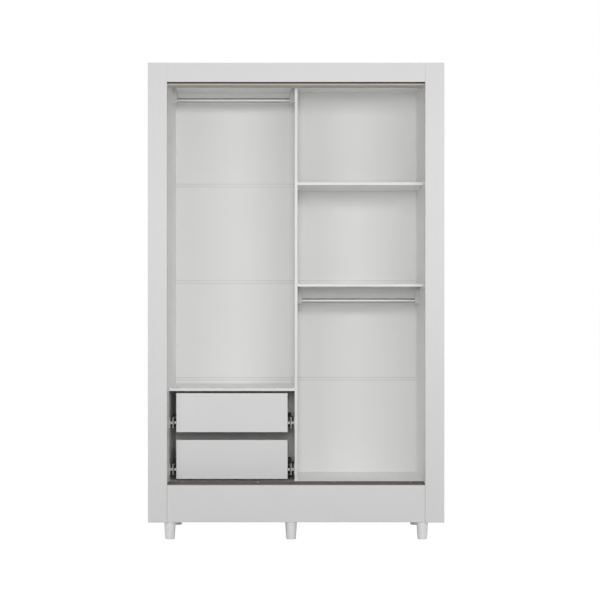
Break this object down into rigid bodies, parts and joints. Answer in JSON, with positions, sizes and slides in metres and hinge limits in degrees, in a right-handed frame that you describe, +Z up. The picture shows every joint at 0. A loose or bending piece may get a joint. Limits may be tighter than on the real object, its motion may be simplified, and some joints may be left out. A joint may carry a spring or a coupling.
{
  "type": "sliding door wardrobe",
  "caption": "White free-standing wardrobe body for sliding doors, with open tracks, a divider, shelves, hanging rods and stacked drawers on tapered feet.",
  "frame": {"origin": "on the floor under the middle of the wardrobe's overall box", "axes": "+Z up, +X to the viewer's right, -Y to the open front"},
  "size_m": [1.196, 0.5, 1.925],
  "materials": {
    "white_board": "matt white melamine on particle board",
    "white_front": "satin white lacquered fibreboard",
    "white_hardboard": "thin fibreboard with a white painted face",
    "strip_plastic": "white extruded plastic",
    "top_track_aluminium": "champagne anodised extrusion",
    "track_aluminium": "bronze anodised extrusion",
    "rod_aluminium": "satin anodised tube",
    "bracket_plastic": "grey moulded plastic",
    "spacer_plastic": "pale grey extruded plastic",
    "runner_steel": "black baked coat on rolled steel",
    "fastener_steel": "zinc plated steel",
    "foot_lacquer": "turned wood, white lacquer",
    "block_wood": "raw pine",
    "dowel_wood": "raw hardwood"
  },
  "bodies": {
    "carcass": {"left_side_panel": "white_board", "right_side_panel": "white_board", "top_panel": "white_board", "base_panel": "white_board", "centre_divider": "white_board", "lower_shelf": "white_board", "upper_shelf": "white_board", "drawer_top_shelf": "white_board", "rear_plinth": "white_board", "base_centre_support": "white_board", "left_stile": "white_front", "right_stile": "white_front", "top_fascia": "white_front", "plinth": "white_front", "back_board_1": "white_hardboard", "back_board_2": "white_hardboard", "back_board_3": "white_hardboard", "back_board_4": "white_hardboard", "back_joint_strip_1": "strip_plastic", "back_joint_strip_2": "strip_plastic", "back_joint_strip_3": "strip_plastic", "front_left_foot": "foot_lacquer", "front_centre_foot": "foot_lacquer", "front_right_foot": "foot_lacquer", "rear_left_foot": "foot_lacquer", "rear_centre_foot": "foot_lacquer", "rear_right_foot": "foot_lacquer", "foot_blocks": "block_wood", "top_track": "top_track_aluminium", "bottom_track": "track_aluminium", "left_hanging_rod": "rod_aluminium", "right_hanging_rod": "rod_aluminium", "left_rod_brackets": "bracket_plastic", "right_rod_brackets": "bracket_plastic", "runner_spacers": "spacer_plastic", "outer_rails": "runner_steel", "frame_brackets": "fastener_steel", "carcass_screws": "fastener_steel", "fitting_screws": "fastener_steel", "back_nails": "fastener_steel", "foot_studs": "fastener_steel", "runner_screws": "fastener_steel", "shelf_dowels": "dowel_wood"},
    "lower_drawer": {"lower_drawer_front": "white_front", "lower_drawer_left_side": "white_board", "lower_drawer_right_side": "white_board", "lower_drawer_back": "white_board", "lower_drawer_bottom": "white_hardboard", "lower_drawer_dowels": "dowel_wood", "lower_inner_rails": "runner_steel"},
    "lower_runner_middle": {"lower_middle_rails": "runner_steel"},
    "upper_drawer": {"upper_drawer_front": "white_front", "upper_drawer_left_side": "white_board", "upper_drawer_right_side": "white_board", "upper_drawer_back": "white_board", "upper_drawer_bottom": "white_hardboard", "upper_drawer_dowels": "dowel_wood", "upper_inner_rails": "runner_steel"},
    "upper_runner_middle": {"upper_middle_rails": "runner_steel"}
  },
  "joints": [
    {"name": "lower_drawer_slide", "type": "slide", "parent": "carcass", "child": "lower_drawer", "axis": [0, -1, 0], "range_m": [0, 0.3]},
    {"name": "lower_runner_slide", "type": "slide", "parent": "carcass", "child": "lower_runner_middle", "axis": [0, -1, 0], "range_m": [0, 0.15]},
    {"name": "upper_drawer_slide", "type": "slide", "parent": "carcass", "child": "upper_drawer", "axis": [0, -1, 0], "range_m": [0, 0.3]},
    {"name": "upper_runner_slide", "type": "slide", "parent": "carcass", "child": "upper_runner_middle", "axis": [0, -1, 0], "range_m": [0, 0.15]}
  ],
  "couplings": [
    {"joint": "lower_runner_slide", "follows": "lower_drawer_slide", "ratio": 0.5},
    {"joint": "upper_runner_slide", "follows": "upper_drawer_slide", "ratio": 0.5}
  ]
}
